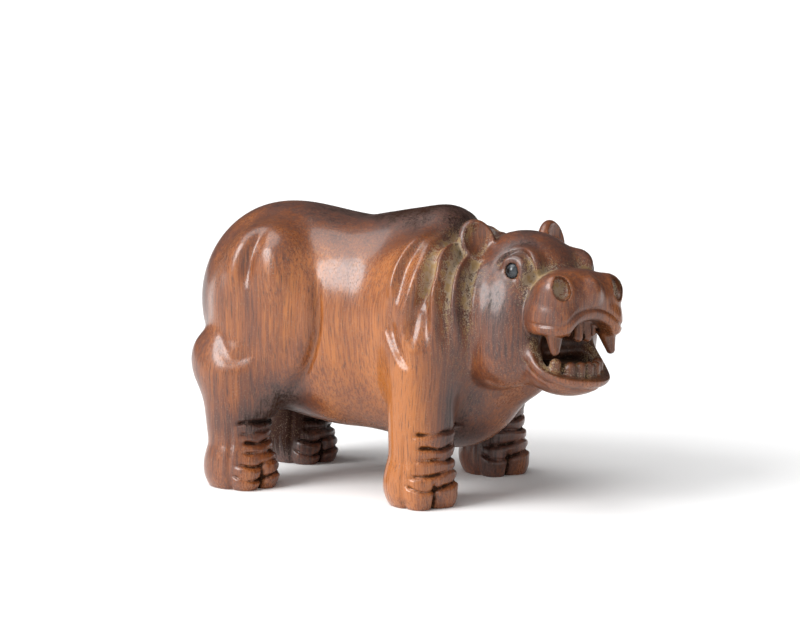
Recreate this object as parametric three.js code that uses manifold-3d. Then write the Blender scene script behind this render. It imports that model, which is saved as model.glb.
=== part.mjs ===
import * as THREE from 'three';
import { mergeVertices } from 'three/addons/utils/BufferGeometryUtils.js';
import Module from 'manifold-3d';

// A hippopotamus netsuke: one carved block of hardwood and two inlaid bead eyes. Millimetres, Z up.
const wasm = await Module();
wasm.setup();

// Where the middle of the carving lies in the carving frame, so that the part stands on its origin
const middle = [6.4, 0.15, 0];

// Trunk: centre, radii and width of the blend of each rounded mass
const trunk = [
  { at: [-10.9, 0, 22.6], size: [11.0, 11.6, 12.3], blend: 0.01 },
  { at: [1.0, 0, 20.3], size: [15.5, 11.3, 13.2], blend: 5 },
  { at: [12.3, 0, 18.0], size: [10.0, 10.5, 12.8], blend: 5 },
  { at: [11.0, 0, 28.3], size: [5.2, 7.0, 7.0], blend: 3 },
  { at: [6.5, 0, 26.0], size: [7.5, 8.0, 8.0], blend: 3 },
];
const neck = { from: [13, 0, 22.8], to: [19, -1.8, 22.8], thick: [8.9, 7.9], blend: 3 };
const tail = {
  path: [[-16, 0, 32.2], [-18.6, 0, 31.3], [-20.6, 0, 28.6], [-21.7, 0, 24.2], [-21.3, 0, 20.6]],
  thick: 1.05, blend: 0.5,
};

// Legs: the feet in plan, then the masses of a hind and of a fore leg on the left side
const feet = [
  { x: -12.4, y: -9.9, side: -1, fore: false },
  { x: -13.2, y: 8.2, side: 1, fore: false },
  { x: 12.5, y: -11.0, side: -1, fore: true },
  { x: 12.7, y: 11.3, side: 1, fore: true },
];
const ankleHeight = 5;
const shoulder = { at: [11.9, 8.9, 22.3], size: [6.0, 4.6, 9.6], blend: 4 };
const hind = {
  thigh: { at: [-9.2, 6.0, 21.6], size: [7.8, 6.7, 11.6], square: 3.2 },
  hock: { at: [-15.2, 8.0, 15.9], size: [4.9, 4.2, 4.4], blend: 2 },
  shank: { from: [-13.5, 8.8, 13.5], thick: [4.8, 3.7], back: 0.7, blend: 3 },
  blend: 1.3,
  toeAngle: 58, splitAngle: 27, heelAngle: 88, top: 9.0,
  creases: [1.7, 3.2, 4.6, 5.9, 7.1, 8.3],
};
const front = {
  shank: { from: [12.3, 10.3, 18.5], thick: [4.3, 3.85], back: 0 },
  blend: 1.6,
  toeAngle: 68, splitAngle: 41, heelAngle: 98, top: 9.8,
  creases: [2.8, 4.3, 5.9, 7.5, 9.2],
};
const pad = { at: [-0.3, 0, 2.4], size: [4.6, 4.3, 4.2], blend: 1.4 };
const heel = { at: [-1.6, 0, 2.2], size: [3.7, 3.6, 3.6], blend: 1.2 };
const toe = { reach: 2.75, spread: 2.65, up: 1.7, size: [1.95, 1.95, 2.5], blend: 0.45 };
const crease = { width: 0.34, depth: 0.5, overToes: 0.22, wave: 0.12 };
const toeSplit = { width: 0.32, depth: 0.45 };
const heelLine = { width: 0.4, depth: 0.35 };

// Folds of the skin, drawn in the side view and carved into both flanks; a ridge has a negative depth,
// and those of the nape run on over the neck
const folds = [
  { line: [[12.6, 34.2], [10.9, 31.2], [9.8, 28.6], [9.6, 25.8], [10.9, 22.4]], width: 0.65, depth: -0.55 },
  { line: [[12.8, 33.6], [11.6, 30.4], [10.9, 27.6], [11, 23.6]], width: 0.8, depth: 0.45 },
  { line: [[15, 33.6], [13.7, 30], [12.4, 27], [11.5, 23.2], [11.5, 18]], width: 1, depth: -0.6 },
  { line: [[15, 30.6], [13.8, 26.6], [12.8, 23.4], [12.8, 18.6]], width: 0.6, depth: 0.55 },
  { line: [[14.6, 28.6], [15.1, 24.2], [15.6, 17.4]], width: 0.8, depth: -0.5 },
  { line: [[8.6, 23.6], [10.6, 19.7], [13, 16.4]], width: 0.7, depth: 0.55 },
  {
    line: [[16.2, 35.6], [14.4, 32.7], [13.9, 29.4], [13.8, 26], [14.6, 17]],
    width: 0.75, depth: 0.85, nape: true,
  },
  { line: [[17.4, 35.8], [15.4, 32.2], [15, 29.1], [15.3, 18.4]], width: 0.5, depth: -0.4, nape: true },
  { line: [[18, 35.4], [16.2, 31.6], [16.1, 27.4], [16.5, 17.2]], width: 0.5, depth: 0.6, nape: true },
  { line: [[18.8, 35], [17.2, 30.6], [17.1, 25], [17.7, 16.4]], width: 0.5, depth: -0.35, nape: true },
  { line: [[20, 35], [18.1, 30.6], [18.1, 25.7], [18.8, 15.6]], width: 0.5, depth: 0.6, nape: true },
  { line: [[-7.6, 35.6], [-10, 29.8], [-11.6, 22.6]], width: 0.9, depth: 0.5 },
  { line: [[-14.8, 21.8], [-13.4, 17.4], [-11.2, 16.4], [-7.2, 19.4]], width: 0.9, depth: 0.35 },
];
const foldEnd = 0.35;
const foldSteps = 14;

// Head, in its own frame: origin between the brows, x along the nose, y to its left
const headAt = [26.0, -3.5, 30.6];
const headTurn = 26;
const headBlend = 0.6;
const skull = { at: [-4.2, 0, -4.4], size: [7.6, 6.7, 6.6] };
const jowl = { at: [-4.2, 3.5, -9.8], size: [6.5, 4.9, 6.4], blend: 3 };
const face = { at: [0, 0, -6.8], size: [4.6, 4.6, 4.1], blend: 2 };
const eyeBulge = { at: [-0.2, 4.2, -2.0], size: [2.6, 1.8, 2.0], blend: 1 };
const jaw = { at: [3.6, 0, -12.7], size: [5.6, 5.5, 3.9], blend: 1.2 };
const jawRoot = { at: [-0.5, 0, -12.3], size: [5.0, 5.0, 3.9], blend: 2 };
const muzzle = { at: [5.0, 0, -5.9], half: [3.9, 5.7, 3.8], round: 3.2, blend: 0.6 };
const lip = { at: [5.0, 3.9, -7.8], size: [3.7, 2.3, 2.1], blend: 0.8 };
const nostrilRim = { at: [6.5, 4.0, -4.3], size: [2.2, 2.0, 2.1], blend: 0.8 };
const noseMiddle = { at: [7.2, 0, -4.6], size: [1.9, 1.7, 2.0], blend: 0.6 };
const nostril = { at: [7.75, 4.95, -3.9], size: [1.3, 1.3, 1.55], blend: 0.35 };
const gape = { corner: 2.7, reach: 6.3, top: -9.5, drop: 5.0, blend: 0.5 };
const lipArch = { at: [9.0, 0, -10.0], size: [4.6, 3.7, 2.7], blend: 0.8 };
const throat = { at: [5.2, 0, -11.0], size: [5.0, 4.0, 3.0], blend: 0.6 };
const jawTray = { at: [4.3, 0, -12.9], size: [3.9, 4.0, 2.3], blend: 0.4 };
const tongue = { at: [4.2, 0, -14.4], half: [2.6, 2.9, 1.35], round: 0.8, blend: 0.3 };
const teeth = [
  { root: [7.7, 0.75, -7.0], tip: [7.9, 0.75, -9.9], thick: [0.66, 0.5] },
  { root: [7.3, 2.15, -7.2], tip: [7.5, 2.15, -9.9], thick: [0.62, 0.5] },
  { root: [6.0, 4.2, -8.6], tip: [6.5, 4.4, -11.4], thick: [1.15, 0.45] },
  { root: [6.75, 0.66, -15.2], tip: [7.05, 0.66, -12.7], thick: [0.72, 0.58] },
  { root: [6.45, 1.98, -15.2], tip: [6.75, 1.98, -12.7], thick: [0.72, 0.58] },
  { root: [5.1, 3.4, -14.9], tip: [5.6, 3.5, -12.5], thick: [1.0, 0.62] },
];
const ear = { at: [-6.5, 6.0, 0.7], facing: [0.85, 0.45, 0.28], upward: [-0.15, 0.25, 1] };
const earDisc = { size: [1.2, 2.35, 2.8], blend: 0.5 };
const earCup = { at: [1.35, 0.1, 0.3], size: [1.25, 1.9, 2.15], blend: 0.3 };
const eye = { at: [-0.4, 5.55, -2.4], facing: [0.3, 0.94, 0.15], radius: 0.93, seat: 1.1 };
const eyeHollow = { ring: 2.0, width: 0.45, depth: 0.55, reach: 1.6 };
const eyelid = { ring: 1.15, out: 0.25, thin: 0.3, thick: 0.5, blend: 0.35 };

// Facets: cell of the first mesh, its coarse pass, and the number of facets kept for the wood
const cell = 0.6;
const coarse = 4;
const low = [-25.2, -18, -3];
const high = [38.4, 18, 37.8];
const facets = 7700;
const evenness = 4e-4;

const hypot = (x, y, z) => Math.sqrt(x * x + y * y + z * z);
const clamp = (t) => Math.min(Math.max(t, 0), 1);
const radians = (degrees) => degrees * Math.PI / 180;

// Cubic step from 0 at a to 1 at b
function rise(a, b, t) {
  const s = clamp((t - a) / (b - a));
  return s * s * (3 - 2 * s);
}

// Distance to an ellipsoid, near its surface
function ball(x, y, z, at, size) {
  const a = (x - at[0]) / size[0];
  const b = (y - at[1]) / size[1];
  const c = (z - at[2]) / size[2];
  const k = hypot(a, b, c) + 1e-9;
  return k * (k - 1) / (hypot(a / size[0], b / size[1], c / size[2]) + 1e-9);
}

// Distance to a slab: an ellipse in the side view, squared off towards its two faces
function slab(x, y, z, { at, size, square }) {
  const a = (x - at[0]) / size[0];
  const c = (z - at[2]) / size[2];
  const flat = Math.sqrt(a * a + c * c) + 1e-9;
  const deep = Math.abs(y - at[1]) / size[1] + 1e-9;
  const k = (flat ** square + deep ** square) ** (1 / square);
  const power = 2 * square - 2;
  const slope = ((a / size[0]) ** 2 + (c / size[2]) ** 2) / (flat * flat);
  return (k - 1) / Math.sqrt((flat / k) ** power * slope + (deep / k) ** power / size[1] ** 2);
}

// Distance to a box with rounded edges
function block(x, y, z, at, half, round) {
  const a = Math.abs(x - at[0]) - half[0] + round;
  const b = Math.abs(y - at[1]) - half[1] + round;
  const c = Math.abs(z - at[2]) - half[2] + round;
  const out = hypot(Math.max(a, 0), Math.max(b, 0), Math.max(c, 0));
  return out + Math.min(Math.max(a, b, c), 0) - round;
}

// Distance to a rod whose radius runs from one end to the other
function rod(x, y, z, from, to, thick) {
  const ab = [to[0] - from[0], to[1] - from[1], to[2] - from[2]];
  const dot = (x - from[0]) * ab[0] + (y - from[1]) * ab[1] + (z - from[2]) * ab[2];
  const t = clamp(dot / (ab[0] * ab[0] + ab[1] * ab[1] + ab[2] * ab[2]));
  const away = hypot(x - from[0] - t * ab[0], y - from[1] - t * ab[1], z - from[2] - t * ab[2]);
  return away - thick[0] - (thick[1] - thick[0]) * t;
}

// Join and cut of two distances with a rounded seam
function join(a, b, blend) {
  const h = Math.max(blend - Math.abs(a - b), 0) / blend;
  return Math.min(a, b) - h * h * blend / 4;
}

function carve(a, b, blend) {
  const h = Math.max(blend - Math.abs(a + b), 0) / blend;
  return Math.max(a, -b) + h * h * blend / 4;
}

// Smooth curve through the points of a fold, as short straight pieces
function smoothLine(line) {
  const corners = line.map((p) => new THREE.Vector3(p[0], 0, p[1]));
  const curve = new THREE.CatmullRomCurve3(corners, false, 'catmullrom');
  return curve.getPoints(foldSteps).map((p) => [p.x, p.z]);
}

const foldLines = folds.map((fold) => {
  const path = smoothLine(fold.line);
  const reach = 3 * fold.width;
  const [x, z] = [0, 1].map((i) => path.map((p) => p[i]));
  const lowest = [Math.min(...x) - reach, Math.min(...z) - reach];
  const highest = [Math.max(...x) + reach, Math.max(...z) + reach];
  return { ...fold, path, lowest, highest };
});

// Depth of all the folds at a place: a bell across each line that fades at its ends. A fold of the flank
// fades towards the middle of the back, and a fold of the nape is weaker on the far side.
function foldDepth(x, y, z) {
  const onFlank = rise(3.5, 7, Math.abs(y));
  const onNape = 1 - 0.6 * rise(2, 8, y);
  let sum = 0;
  for (const { path, lowest, highest, width, depth, nape } of foldLines) {
    if (x < lowest[0] || x > highest[0] || z < lowest[1] || z > highest[1]) continue;
    let best = 1e9;
    let share = 0;
    for (let i = 0; i < path.length - 1; i++) {
      const dx = path[i + 1][0] - path[i][0];
      const dz = path[i + 1][1] - path[i][1];
      const t = clamp(((x - path[i][0]) * dx + (z - path[i][1]) * dz) / (dx * dx + dz * dz));
      const away = (x - path[i][0] - t * dx) ** 2 + (z - path[i][1] - t * dz) ** 2;
      if (away < best) {
        best = away;
        share = (i + t) / (path.length - 1);
      }
    }
    const ends = rise(0, foldEnd, share) * rise(0, foldEnd, 1 - share);
    sum += depth * Math.exp(-best / (width * width)) * ends * (nape ? onNape : onFlank);
  }
  return sum;
}

// One leg without its foot
function leg(x, y, z, foot) {
  const { thigh, hock } = hind;
  const { shank } = foot.fore ? front : hind;
  const v = y * foot.side;
  const ankle = [foot.x - shank.back, foot.y * foot.side, ankleHeight];
  const lower = rod(x, v, z, shank.from, ankle, shank.thick);
  if (foot.fore) return lower;
  const upper = join(slab(x, v, z, thigh), ball(x, v, z, hock.at, hock.size), hock.blend);
  return join(upper, lower, shank.blend);
}

// A foot added to the distance d: pad, toes, the splits between them and the creases above
function addFoot(d, x, y, z, foot) {
  const u = x - foot.x;
  const v = y - foot.y;
  if (Math.abs(u) > 8.5 || Math.abs(v) > 7.5 || z > 13) return d;
  const shape = foot.fore ? front : hind;
  let e = join(d, ball(u, v, z, pad.at, pad.size), pad.blend);
  if (!foot.fore) e = join(e, ball(u, v, z, heel.at, heel.size), heel.blend);
  for (const turn of [-1, 0, 1]) {
    const angle = radians(turn * shape.toeAngle);
    const at = [toe.reach * Math.cos(angle), toe.spread * Math.sin(angle), toe.up];
    e = join(e, ball(u, v, z, at, toe.size), toe.blend);
  }
  const r = Math.sqrt(u * u + v * v) + 1e-6;
  const angle = Math.atan2(v, u) * 180 / Math.PI;
  const round = Math.abs(angle);
  const bell = (t, width) => Math.exp(-t * t / (width * width));
  const onFoot = 1 - rise(5.2, 6.4, r);
  const onToes = (1 - rise(2.6, 4.2, z)) * onFoot;
  e += toeSplit.depth * bell(radians(round - shape.splitAngle) * r, toeSplit.width) * onToes;
  const onLine = (1 - rise(shape.top - 2, shape.top, z)) * onFoot;
  e += heelLine.depth * bell(radians(round - shape.heelAngle) * r, heelLine.width) * onLine;
  const ahead = (1 - rise(shape.heelAngle - 14, shape.heelAngle + 2, round)) * rise(1, 2.2, r) * onFoot;
  const overToes = Math.cos(radians(round * 360 / (2 * shape.splitAngle + 30))) * (1 - rise(3, 6, z));
  const bow = crease.overToes * overToes + crease.wave * Math.sin(radians(2 * angle) + z);
  const near = Math.min(...shape.creases.map((height) => Math.abs(z - bow - height)));
  return e + crease.depth * Math.exp(-near / crease.width) * ahead;
}

// Axes of a small piece that faces one way, with its own upright
function axes(facing, upward) {
  const out = new THREE.Vector3(...facing).normalize();
  const up = new THREE.Vector3(...upward);
  up.addScaledVector(out, -up.dot(out)).normalize();
  const along = new THREE.Vector3().crossVectors(up, out);
  return [out.toArray(), along.toArray(), up.toArray()];
}

const earAxes = axes(ear.facing, ear.upward);
const eyeAxes = axes(eye.facing, [0, 0, 1]);

function inAxes(x, y, z, at, frame) {
  return frame.map((a) => (x - at[0]) * a[0] + (y - at[1]) * a[1] + (z - at[2]) * a[2]);
}

// The head in its own frame, with mouth, nostrils, eyelids and ears; it is alike on both sides
function head(x, y, z) {
  const v = Math.abs(y);
  let d = ball(x, y, z, skull.at, skull.size);
  d = join(d, ball(x, v, z, jowl.at, jowl.size), jowl.blend);
  d = join(d, ball(x, y, z, face.at, face.size), face.blend);
  d = join(d, ball(x, v, z, eyeBulge.at, eyeBulge.size), eyeBulge.blend);
  const jaws = join(ball(x, y, z, jaw.at, jaw.size), ball(x, y, z, jawRoot.at, jawRoot.size), jawRoot.blend);
  d = join(d, jaws, jaw.blend);
  let nose = block(x, y, z, muzzle.at, muzzle.half, muzzle.round);
  for (const part of [lip, nostrilRim, noseMiddle]) {
    nose = join(nose, ball(x, v, z, part.at, part.size), part.blend);
  }
  d = join(d, nose, muzzle.blend);
  const across = (x - gape.corner - gape.reach) / gape.reach;
  const below = (z - gape.top) / gape.drop;
  const side = (Math.sqrt(across * across + below * below) - 1) * gape.drop;
  let mouth = join(Math.max(side, z - gape.top), ball(x, y, z, lipArch.at, lipArch.size), lipArch.blend);
  mouth = join(mouth, ball(x, y, z, throat.at, throat.size), throat.blend);
  d = carve(d, mouth, gape.blend);
  d = carve(d, ball(x, y, z, jawTray.at, jawTray.size), jawTray.blend);
  d = join(d, block(x, y, z, tongue.at, tongue.half, tongue.round), tongue.blend);
  d = carve(d, ball(x, v, z, nostril.at, nostril.size), nostril.blend);
  const [out, along, up] = inAxes(x, v, z, eye.at, eyeAxes);
  const ring = Math.sqrt(along * along + up * up);
  const above = rise(-0.75, 0.35, (up - 0.6 * along) / (ring + 0.3));
  const hollow = ((ring - eyeHollow.ring) / eyeHollow.width) ** 2 + (out / eyeHollow.reach) ** 2;
  d += eyeHollow.depth * Math.exp(-hollow) * above;
  const lidThick = eyelid.thin + (eyelid.thick - eyelid.thin) * above;
  d = join(d, hypot(ring - eyelid.ring, out - eyelid.out, 0) - lidThick, eyelid.blend);
  const [e0, e1, e2] = inAxes(x, v, z, ear.at, earAxes);
  let disc = ball(e0, e1, e2, [0, 0, 0], earDisc.size);
  disc = carve(disc, ball(e0, e1, e2, earCup.at, earCup.size), earCup.blend);
  return join(d, disc, earDisc.blend);
}

const turnCos = Math.cos(radians(headTurn));
const turnSin = Math.sin(radians(headTurn));

// Distance to the whole carving; the feet run on below the ground and are cut flat later
function carving(x, y, z) {
  let d = 1e9;
  for (const mass of trunk) d = join(d, ball(x, y, z, mass.at, mass.size), mass.blend);
  d = join(d, rod(x, y, z, neck.from, neck.to, neck.thick), neck.blend);
  d = join(d, ball(x, Math.abs(y), z, shoulder.at, shoulder.size), shoulder.blend);
  for (const foot of feet) d = join(d, leg(x, y, z, foot), (foot.fore ? front : hind).blend);
  if (Math.abs(d) < 2.5) d += foldDepth(x, y, z);
  for (const foot of feet) d = addFoot(d, x, y, z, foot);
  for (let i = 0; i < tail.path.length - 1; i++) {
    d = join(d, rod(x, y, z, tail.path[i], tail.path[i + 1], [tail.thick, tail.thick]), tail.blend);
  }
  const dx = x - headAt[0];
  const dy = y - headAt[1];
  const dz = z - headAt[2];
  if (hypot(dx, dy, dz + 6) > 22) return d;
  return join(d, head(dx * turnCos - dy * turnSin, dx * turnSin + dy * turnCos, dz), headBlend);
}

// Closed mesh of a distance: every cell near the surface is split into six tetrahedra
function meshOf(field) {
  const count = low.map((v, i) => Math.ceil((high[i] - v) / cell / coarse - 1e-6) * coarse + 1);
  const [nx, ny, nz] = count;
  const index = (i, j, k) => (i * ny + j) * nz + k;
  const place = (n) => {
    const k = n % nz;
    const j = Math.floor(n / nz) % ny;
    const i = Math.floor(n / nz / ny);
    return [low[0] + i * cell, low[1] + j * cell, low[2] + k * cell];
  };
  const value = new Float64Array(nx * ny * nz).fill(NaN);
  const at = (n) => {
    if (Number.isNaN(value[n])) value[n] = field(...place(n));
    return value[n];
  };
  const tetrahedra = [[0, 1, 3, 7], [0, 3, 2, 7], [0, 2, 6, 7], [0, 6, 4, 7], [0, 4, 5, 7], [0, 5, 1, 7]];
  const points = [];
  const faces = [];
  const known = new Map();
  const crossing = (a, b) => {
    const key = a < b ? a * value.length + b : b * value.length + a;
    if (!known.has(key)) {
      const t = at(a) / (at(a) - at(b));
      const p = place(a);
      const q = place(b);
      known.set(key, points.length);
      points.push(p.map((v, i) => v + t * (q[i] - v)));
    }
    return known.get(key);
  };
  const addFace = (a, b, c, inside, outside) => {
    const [p, q, r] = [points[a], points[b], points[c]];
    const u = q.map((v, i) => v - p[i]);
    const v = r.map((w, i) => w - p[i]);
    const n = [u[1] * v[2] - u[2] * v[1], u[2] * v[0] - u[0] * v[2], u[0] * v[1] - u[1] * v[0]];
    const away = place(outside).map((w, i) => w - place(inside)[i]);
    const outward = n[0] * away[0] + n[1] * away[1] + n[2] * away[2];
    faces.push(outward >= 0 ? [a, b, c] : [a, c, b]);
  };
  const cut = (corners) => {
    const inside = corners.filter((n) => at(n) < 0);
    const outside = corners.filter((n) => at(n) >= 0);
    if (inside.length === 0 || outside.length === 0) return;
    if (inside.length === 2) {
      const quad = [[0, 0], [0, 1], [1, 1], [1, 0]].map(([i, j]) => crossing(inside[i], outside[j]));
      addFace(quad[0], quad[1], quad[2], inside[0], outside[1]);
      addFace(quad[0], quad[2], quad[3], inside[1], outside[0]);
      return;
    }
    const lone = inside.length === 1 ? inside[0] : outside[0];
    const others = corners.filter((n) => n !== lone);
    const [a, b, c] = others.map((n) => crossing(lone, n));
    addFace(a, b, c, inside[0], outside[0]);
  };
  const big = cell * coarse;
  for (let i = 0; i < nx - 1; i += coarse) {
    for (let j = 0; j < ny - 1; j += coarse) {
      for (let k = 0; k < nz - 1; k += coarse) {
        const centre = [i, j, k].map((n, axis) => low[axis] + n * cell + big / 2);
        if (Math.abs(field(...centre)) > big * 1.5) continue;
        for (let n = 0; n < coarse ** 3; n++) {
          const a = i + n % coarse;
          const b = j + Math.floor(n / coarse) % coarse;
          const c = k + Math.floor(n / coarse / coarse);
          const corner = [];
          for (let m = 0; m < 8; m++) corner.push(index(a + (m & 1), b + ((m >> 1) & 1), c + (m >> 2)));
          const signs = corner.filter((m) => at(m) < 0).length;
          if (signs === 0 || signs === 8) continue;
          for (const four of tetrahedra) cut(four.map((m) => corner[m]));
        }
      }
    }
  }
  return { points, faces };
}

// Moves each point along the slope of the distance until it lies on the surface
function settle(points, field) {
  const e = 0.02;
  for (const p of points) {
    const f = field(...p);
    const g = [0, 1, 2].map((i) => {
      const a = [...p];
      const b = [...p];
      a[i] += e;
      b[i] -= e;
      return (field(...a) - field(...b)) / (2 * e);
    });
    const scale = f / (g[0] * g[0] + g[1] * g[1] + g[2] * g[2] + 1e-6);
    const limit = Math.min(1, 0.3 * cell / (Math.abs(scale) * hypot(...g) + 1e-9));
    for (let i = 0; i < 3; i++) p[i] -= scale * limit * g[i];
  }
}

// Merges the edges whose loss changes the shape least, until the wanted number of facets is left
function thin({ points, faces }, wanted) {
  const quadric = points.map(() => new Float64Array(10));
  const around = points.map(() => new Set());
  const stamp = new Int32Array(points.length);
  const normalOf = (a, b, c) => {
    const u = [b[0] - a[0], b[1] - a[1], b[2] - a[2]];
    const v = [c[0] - a[0], c[1] - a[1], c[2] - a[2]];
    return [u[1] * v[2] - u[2] * v[1], u[2] * v[0] - u[0] * v[2], u[0] * v[1] - u[1] * v[0]];
  };
  faces.forEach((face, index) => {
    const n = normalOf(...face.map((i) => points[i]));
    const size = hypot(...n);
    for (const i of face) around[i].add(index);
    if (size < 1e-12) return;
    const [a, b, c] = n.map((v) => v / size);
    const p = points[face[0]];
    const d = -(a * p[0] + b * p[1] + c * p[2]);
    const add = [a * a, a * b, a * c, a * d, b * b, b * c, b * d, c * c, c * d, d * d];
    for (const i of face) add.forEach((v, k) => { quadric[i][k] += v * size / 2; });
  });
  const errorAt = (q, [x, y, z]) => {
    const squares = q[0] * x * x + q[4] * y * y + q[7] * z * z + q[9];
    return squares + 2 * (q[1] * x * y + q[2] * x * z + q[3] * x + q[5] * y * z + q[6] * y + q[8] * z);
  };
  const solve = new THREE.Matrix3();
  const candidate = (a, b) => {
    const q = quadric[a].map((v, i) => v + quadric[b][i]);
    const long = hypot(...points[a].map((v, i) => v - points[b][i]));
    const half = points[a].map((v, i) => (v + points[b][i]) / 2);
    const choices = [half, points[a], points[b]];
    solve.set(q[0], q[1], q[2], q[1], q[4], q[5], q[2], q[5], q[7]);
    const scale = q[0] + q[4] + q[7];
    if (Math.abs(solve.determinant()) > 1e-4 * scale ** 3) {
      const best = new THREE.Vector3(-q[3], -q[6], -q[8]).applyMatrix3(solve.invert()).toArray();
      if (hypot(...best.map((v, i) => v - half[i])) < long) choices.push(best);
    }
    let place = half;
    for (const choice of choices) if (errorAt(q, choice) < errorAt(q, place)) place = choice;
    const cost = Math.max(errorAt(q, place), 0) + evenness * long * long;
    return { cost, a, b, place, mark: stamp[a] + stamp[b] };
  };
  const heap = [];
  const push = (item) => {
    let i = heap.push(item) - 1;
    while (i > 0) {
      const up = (i - 1) >> 1;
      if (heap[up].cost <= item.cost) break;
      heap[i] = heap[up];
      i = up;
    }
    heap[i] = item;
  };
  const pop = () => {
    const first = heap[0];
    const last = heap.pop();
    if (heap.length === 0) return first;
    let i = 0;
    for (;;) {
      let next = 2 * i + 1;
      if (next >= heap.length) break;
      if (next + 1 < heap.length && heap[next + 1].cost < heap[next].cost) next += 1;
      if (heap[next].cost >= last.cost) break;
      heap[i] = heap[next];
      i = next;
    }
    heap[i] = last;
    return first;
  };
  const neighbours = (a) => {
    const all = new Set();
    for (const f of around[a]) for (const i of faces[f]) all.add(i);
    all.delete(a);
    return all;
  };
  const flips = (a, other, place) => {
    for (const f of around[a]) {
      const face = faces[f];
      if (face.includes(other)) continue;
      const before = normalOf(...face.map((i) => points[i]));
      const after = normalOf(...face.map((i) => (i === a ? place : points[i])));
      const dot = before[0] * after[0] + before[1] * after[1] + before[2] * after[2];
      if (dot < 0.3 * hypot(...before) * hypot(...after) || hypot(...after) < 1e-5) return true;
    }
    return false;
  };
  points.forEach((p, a) => {
    for (const b of neighbours(a)) if (a < b) push(candidate(a, b));
  });
  let left = faces.length;
  while (left > wanted && heap.length > 0) {
    const { a, b, place, mark } = pop();
    if (stamp[a] < 0 || stamp[b] < 0 || stamp[a] + stamp[b] !== mark) continue;
    const shared = [...around[a]].filter((f) => around[b].has(f));
    const ringB = neighbours(b);
    const common = [...neighbours(a)].filter((i) => ringB.has(i));
    if (shared.length !== 2 || common.length !== 2) continue;
    if (flips(a, b, place) || flips(b, a, place)) continue;
    for (const f of shared) {
      for (const i of faces[f]) around[i].delete(f);
      faces[f] = null;
      left -= 1;
    }
    for (const f of around[b]) {
      faces[f] = faces[f].map((i) => (i === b ? a : i));
      around[a].add(f);
    }
    points[a] = place;
    quadric[b].forEach((v, i) => { quadric[a][i] += v; });
    stamp[b] = -1e9;
    stamp[a] += 1;
    const ring = neighbours(a);
    for (const i of ring) push(candidate(a, i));
  }
  return { points, faces: faces.filter((face) => face !== null) };
}

// Solids for joining and cutting, from a plain mesh or from a three.js shape
function solidOfMesh({ points, faces }) {
  const used = [...new Set(faces.flat())];
  const number = new Map(used.map((n, i) => [n, i]));
  const vertProperties = new Float32Array(used.flatMap((n) => points[n]));
  const triVerts = new Uint32Array(faces.flatMap((face) => face.map((n) => number.get(n))));
  return new wasm.Manifold(new wasm.Mesh({ numProp: 3, vertProperties, triVerts }));
}

function solidOfShape(shape) {
  shape.deleteAttribute('normal');
  shape.deleteAttribute('uv');
  const merged = mergeVertices(shape, 1e-4);
  const vertProperties = new Float32Array(merged.attributes.position.array);
  const triVerts = new Uint32Array(merged.index.array);
  return new wasm.Manifold(new wasm.Mesh({ numProp: 3, vertProperties, triVerts }));
}

function fromHead([x, y, z]) {
  return new THREE.Vector3(
    headAt[0] + x * turnCos + y * turnSin,
    headAt[1] - x * turnSin + y * turnCos,
    headAt[2] + z,
  );
}

// A tooth: a short cone with a blunt end, from its root in the gum to its tip
function toothShape({ root, tip, thick }, side) {
  const from = fromHead([root[0], root[1] * side, root[2]]);
  const to = fromHead([tip[0], tip[1] * side, tip[2]]);
  const long = from.distanceTo(to);
  const blunt = 0.6 * thick[1];
  const profile = [[0, 0], [thick[0], 0], [thick[1], long - blunt], [blunt, long], [0, long]];
  const shape = new THREE.LatheGeometry(profile.map((p) => new THREE.Vector2(...p)), 7);
  const turn = new THREE.Quaternion();
  turn.setFromUnitVectors(new THREE.Vector3(0, 1, 0), to.clone().sub(from).normalize());
  shape.applyQuaternion(turn);
  shape.translate(from.x, from.y, from.z);
  return shape;
}

function eyeShape(side, radius, around, down) {
  const shape = new THREE.SphereGeometry(radius, around, down);
  const at = fromHead([eye.at[0], eye.at[1] * side, eye.at[2]]);
  shape.translate(at.x, at.y, at.z);
  return shape;
}

function shapeOfSolid(solid) {
  const mesh = solid.getMesh();
  const shape = new THREE.BufferGeometry();
  shape.setAttribute('position', new THREE.BufferAttribute(new Float32Array(mesh.vertProperties), 3));
  shape.setIndex(new THREE.BufferAttribute(new Uint32Array(mesh.triVerts), 1));
  return shape;
}

// The wood: thinned mesh, teeth set in, soles cut flat, a seat cut for each eye
const rough = meshOf(carving);
settle(rough.points, carving);
let wood = solidOfMesh(thin(rough, facets));
for (const side of [-1, 1]) {
  for (const tooth of teeth) wood = wood.add(solidOfShape(toothShape(tooth, side)));
}
const ground = new THREE.BoxGeometry(100, 100, 20).translate(0, 0, -10);
wood = wood.subtract(solidOfShape(ground));
for (const side of [-1, 1]) wood = wood.subtract(solidOfShape(eyeShape(side, eye.seat, 16, 10)));

const part = new THREE.Group();
part.name = 'netsuke';

function addPiece(name, shape, color, roughness) {
  shape.translate(-middle[0], -middle[1], -middle[2]);
  shape.computeVertexNormals();
  const finish = new THREE.MeshStandardMaterial({ color, roughness, metalness: 0, flatShading: true });
  const piece = new THREE.Mesh(shape, finish);
  piece.name = name;
  part.add(piece);
}

addPiece('carved_body', shapeOfSolid(wood), 0x6e3d26, 0.45);
addPiece('right_eye', eyeShape(-1, eye.radius, 12, 8), 0x101114, 0.12);
addPiece('left_eye', eyeShape(1, eye.radius, 12, 8), 0x101114, 0.12);

export default part;
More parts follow.
